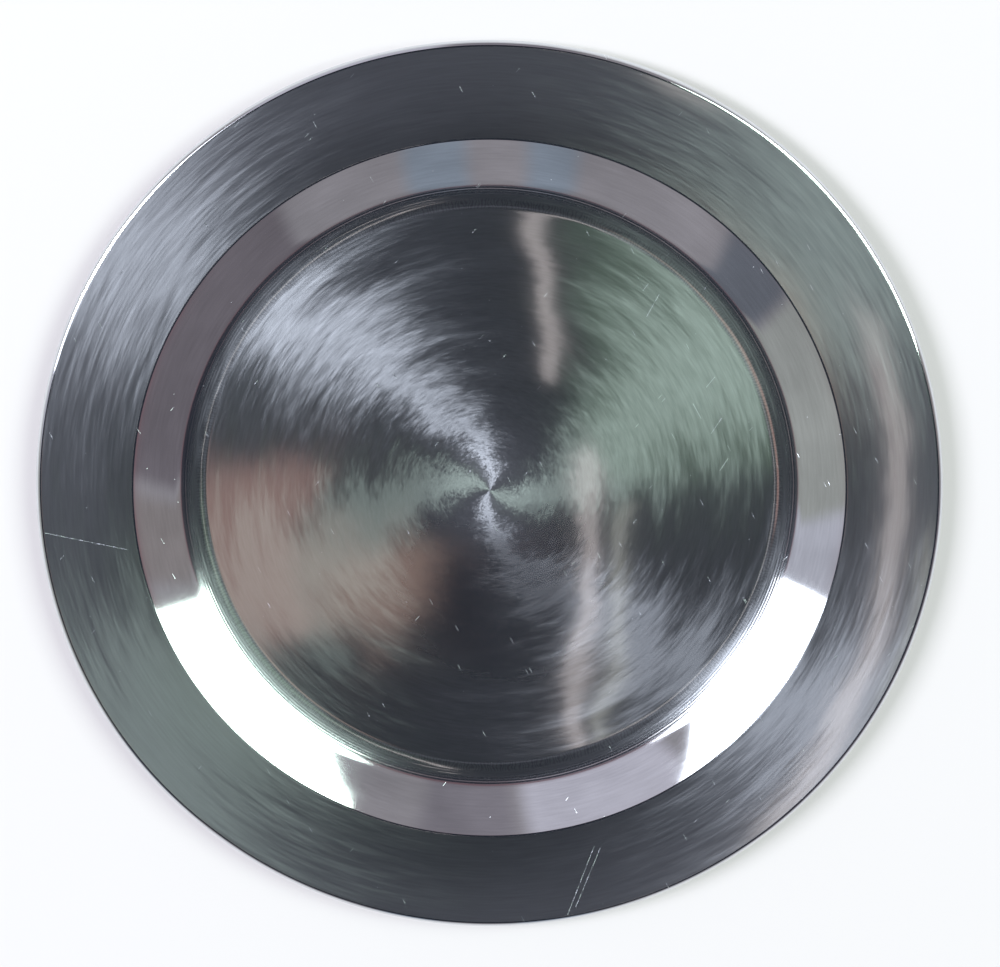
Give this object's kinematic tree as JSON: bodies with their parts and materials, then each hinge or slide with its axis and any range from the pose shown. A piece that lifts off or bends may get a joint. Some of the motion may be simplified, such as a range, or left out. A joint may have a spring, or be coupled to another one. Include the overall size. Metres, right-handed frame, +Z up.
{
  "type": "paten plate",
  "caption": "Shallow round steel paten: a flat base, a sloping polished wall and a broad, nearly level brushed rim with a rolled lip. It holds bread and lies flat on a table.",
  "frame": {"origin": "centre of the flat underside, on the surface that the plate lies on", "axes": "+Z up along the plate's axis of symmetry, +Y towards the edge that is uppermost in the reference view"},
  "size_m": [0.22, 0.22, 0.0085],
  "materials": {
    "plate_steel": "polished stainless steel, finely brushed in circles on the rim and the base, brighter on the sloping wall"
  },
  "bodies": {
    "root": {"paten_plate": "plate_steel"}
  },
  "joints": []
}
